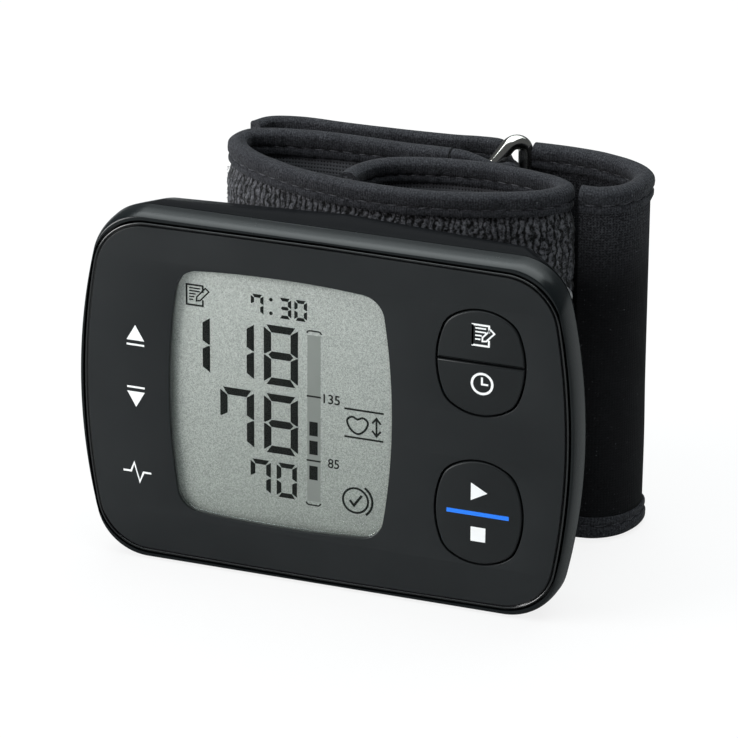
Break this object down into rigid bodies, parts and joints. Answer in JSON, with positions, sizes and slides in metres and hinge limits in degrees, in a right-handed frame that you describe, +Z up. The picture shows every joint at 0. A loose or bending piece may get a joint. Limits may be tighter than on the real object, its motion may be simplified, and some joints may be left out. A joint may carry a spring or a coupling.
{
  "type": "wrist blood pressure monitor",
  "caption": "Slim wrist blood pressure monitor with a window display and two squircle key areas, standing on a coiled fabric cuff with a ring and a folded strap.",
  "frame": {"origin": "middle of the case's flat bottom strip, on the surface that the monitor stands on", "axes": "+X to the right of the display, +Y from the display towards the cuff, +Z up along the case and the cuff's axis"},
  "size_m": [0.0888, 0.0548, 0.067],
  "materials": {
    "panel_black": "satin black with a fine grain",
    "bezel_black": "gloss black with a faint green tint",
    "rear_black": "fine moulded grain",
    "key_black": "satin",
    "clear_window": "clear, polished",
    "display_grey": "reflective liquid crystal grey",
    "display_glass": "polished",
    "holder_white": "moulded",
    "strip_rubber": "matte",
    "board_green": "solder mask",
    "chip_black": "moulded",
    "cell_blue": "printed sleeve",
    "steel": "plated",
    "spring_steel": "nickel plated",
    "ring_chrome": "polished chrome",
    "valve_brass": "turned",
    "tube_grey": "soft",
    "pile_fabric": "loop pile",
    "lining_fabric": "fine mesh knit",
    "tape_fabric": "woven binding tape with a stitch line",
    "band_mesh": "fine mesh knit",
    "hook_fabric": "hook fastener",
    "bladder_film": "welded film",
    "leaf_white": "sheet"
  },
  "bodies": {
    "monitor": {"front_panel": "panel_black", "display_lens": "clear_window", "lcd_front_glass": "display_grey", "lcd_rear_glass": "display_glass", "lcd_holder": "holder_white", "lcd_connector_upper": "strip_rubber", "lcd_connector_lower": "strip_rubber", "front_case": "bezel_black", "rear_case": "rear_black", "battery_tray": "holder_white", "battery_1": "cell_blue", "battery_2": "cell_blue", "battery_spring_1": "spring_steel", "battery_spring_2": "spring_steel", "battery_contact_1": "spring_steel", "battery_contact_2": "spring_steel", "memory_switch": "spring_steel", "clock_switch": "spring_steel", "start_stop_switch": "spring_steel", "main_board": "board_green", "processor_chip": "chip_black", "pressure_sensor": "holder_white", "pump_motor": "steel", "pump_head": "chip_black", "release_valve": "valve_brass", "air_manifold": "tube_grey", "bladder_stem": "tube_grey", "case_screw_1": "steel", "case_screw_2": "steel", "case_screw_3": "steel", "case_screw_4": "steel", "mount_plate": "rear_black", "plate_screw_1": "steel", "plate_screw_2": "steel", "cuff_cover": "pile_fabric", "cuff_lining": "lining_fabric", "air_bladder": "bladder_film", "curler_leaf": "leaf_white", "cuff_binding_top": "tape_fabric", "cuff_binding_bottom": "tape_fabric", "fastening_strap": "band_mesh", "strap_binding_top": "tape_fabric", "strap_binding_bottom": "tape_fabric", "hook_patch": "hook_fabric", "ring_band": "band_mesh", "ring_band_binding_top": "tape_fabric", "ring_band_binding_bottom": "tape_fabric", "ring_keeper": "tape_fabric"},
    "memory_key": {"memory_button": "key_black"},
    "clock_key": {"clock_button": "key_black"},
    "start_stop_key": {"start_stop_button": "key_black"},
    "battery_door": {"battery_cover": "rear_black"},
    "ring": {"d_ring": "ring_chrome"}
  },
  "joints": [
    {"name": "memory_button_press", "type": "slide", "parent": "monitor", "child": "memory_key", "axis": [0, 1, 0], "range_m": [0, 0.0005], "stiffness_N_per_m": 3000},
    {"name": "clock_button_press", "type": "slide", "parent": "monitor", "child": "clock_key", "axis": [0, 1, 0], "range_m": [0, 0.0005], "stiffness_N_per_m": 3000},
    {"name": "start_stop_button_press", "type": "slide", "parent": "monitor", "child": "start_stop_key", "axis": [0, 1, 0], "range_m": [0, 0.0005], "stiffness_N_per_m": 3000},
    {"name": "battery_cover_hinge", "type": "hinge", "parent": "monitor", "child": "battery_door", "pos_m": [-0.0108, 0.0056, 0.0317], "axis": [0, 0, -1], "range_deg": [0, 28]},
    {"name": "ring_swing", "type": "hinge", "parent": "monitor", "child": "ring", "pos_m": [0.0176, 0.0441, 0.0337], "axis": [0, 0, 1], "range_deg": [-4, 4]}
  ]
}
